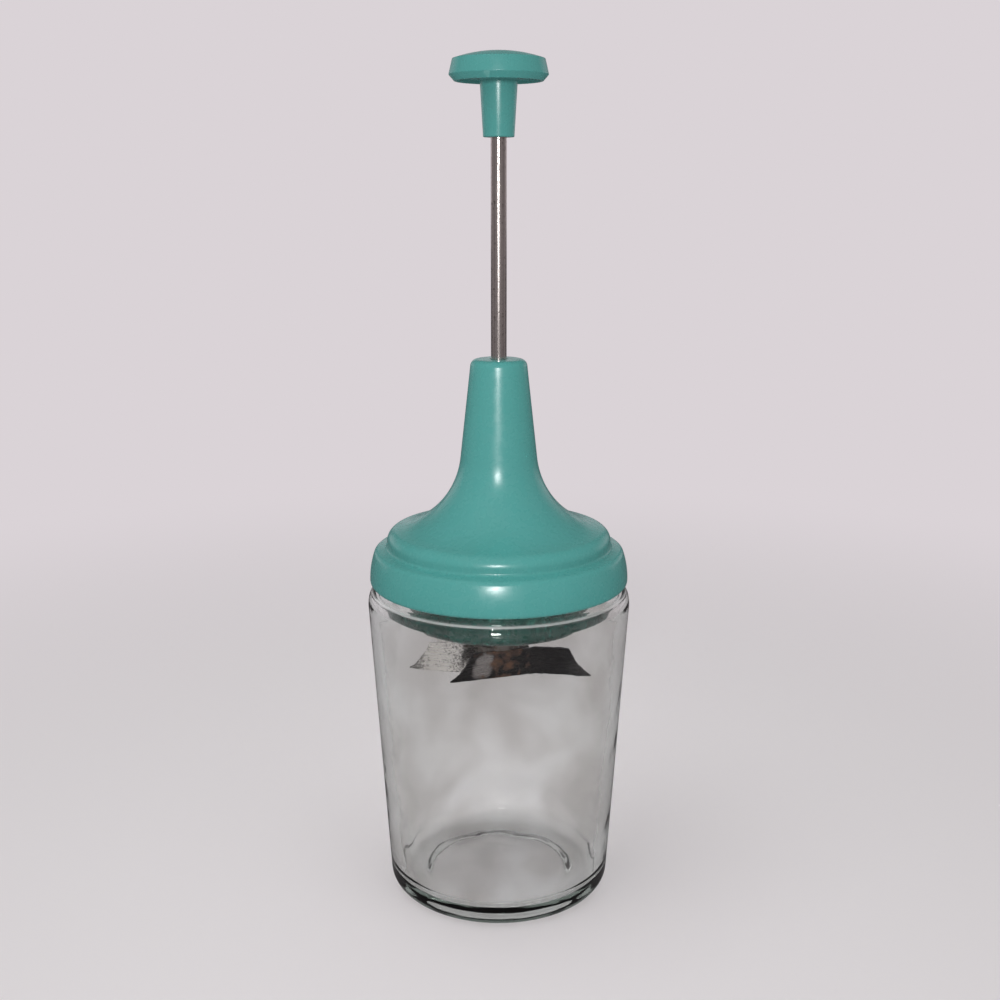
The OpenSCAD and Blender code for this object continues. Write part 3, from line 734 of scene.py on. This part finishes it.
floor_mesh = bpy.data.meshes.new("floor")
floor_mesh.from_pydata([(-6, -6, 0), (6, -6, 0), (6, 6, 0), (-6, 6, 0)], [], [(0, 1, 2, 3)])
floor = bpy.data.objects.new("floor", floor_mesh)
floor.location.z = -0.0002
bpy.context.scene.collection.objects.link(floor)
dress(floor, pale_floor())

world = bpy.data.worlds.new("room")
bpy.context.scene.world = world
world.use_nodes = True
world.node_tree.nodes.clear()
way = add(world.node_tree, "ShaderNodeTexCoord").outputs["Generated"]
height = add(world.node_tree, "ShaderNodeSeparateXYZ", {0: way}).outputs["Z"]
ceiling = add(world.node_tree, "ShaderNodeMapRange",
              {"Value": height, "From Min": 0.1, "From Max": 0.45, "To Max": 0.8}).outputs[0]
dimmed = add(world.node_tree, "ShaderNodeMath", {0: ceiling, 1: in_mirror(world.node_tree)},
             operation="MULTIPLY").outputs[0]
level = add(world.node_tree, "ShaderNodeMath", {0: 1.0, 1: dimmed}, operation="SUBTRACT").outputs[0]
air = add(world.node_tree, "ShaderNodeBackground", {"Color": PALE, "Strength": level})
room = add(world.node_tree, "ShaderNodeBackground", {"Color": linear("#FFFFFF"), "Strength": 0.48})
sky = add(world.node_tree, "ShaderNodeMixShader",
          {0: seen_directly(world.node_tree), 1: room.outputs[0], 2: air.outputs[0]})
add(world.node_tree, "ShaderNodeOutputWorld", {"Surface": sky.outputs[0]})


def hang(name, quads, colour, **seen):
    """Hangs upright sheets, each given by two points on the floor and a height, for chosen rays only."""
    points, faces = [], []
    for (x0, y0), (x1, y1), height in quads:
        n = len(points)
        points += [(x0, y0, 0), (x1, y1, 0), (x1, y1, height), (x0, y0, height)]
        faces.append((n, n + 1, n + 2, n + 3))
    mesh = bpy.data.meshes.new(name)
    mesh.from_pydata(points, [], faces)
    sheet = bpy.data.objects.new(name, mesh)
    bpy.context.scene.collection.objects.link(sheet)
    material, tree = blank(name + "_cloth")
    cloth = add(tree, "ShaderNodeEmission", {"Color": linear(colour), "Strength": 1.0})
    add(tree, "ShaderNodeOutputMaterial", {"Surface": cloth.outputs[0]})
    dress(sheet, material)
    for kind in ("camera", "diffuse", "glossy", "transmission", "shadow"):
        setattr(sheet, "visible_" + kind, seen.get(kind, False))


def on_ring(radius, degrees):
    """A point on the floor, at an angle round the object from +X."""
    return radius * math.cos(math.radians(degrees)), radius * math.sin(math.radians(degrees))


# a grey curtain round the front, for the steel and the gloss to mirror, and narrow dark strips all round,
# which draw the lines by which a clear wall shows
PANEL_DEG, STRIP_HALF_DEG = 8, 3.5
panels = [(on_ring(1.0, a), on_ring(1.0, a + PANEL_DEG), 1.1) for a in range(-200, 20, PANEL_DEG)]
strips = [(on_ring(0.8, a - STRIP_HALF_DEG), on_ring(0.8, a + STRIP_HALF_DEG), 0.7)
          for a in (22.5 + 45 * k for k in range(8))]
hang("grey_curtain", panels, "#868182", glossy=True)
hang("dark_strips", strips, "#4C494B", glossy=True, transmission=True)


def lamp(name, place, aim, size, watts, spread=180, mirrored=True):
    """A square soft lamp that points at a spot on the object, and lights a cone of so many degrees."""
    light = bpy.data.lights.new(name, "AREA")
    light.size = size
    light.energy = watts
    light.spread = math.radians(spread)
    holder = bpy.data.objects.new(name, light)
    holder.location = place
    holder.rotation_euler = (Vector(aim) - Vector(place)).to_track_quat("-Z", "Y").to_euler()
    holder.visible_camera = False
    holder.visible_transmission = mirrored
    holder.visible_glossy = mirrored
    bpy.context.scene.collection.objects.link(holder)


lamp("front_lamp", (-0.025, -0.52, 0.27), (0, 0, 0.14), 0.07, 0.2, spread=75)
lamp("top_lamp", (-0.2, -0.25, 1.0), (0, 0, 0.1), 0.9, 2.8, mirrored=False)

scene = bpy.context.scene
scene.view_settings.view_transform = "Standard"
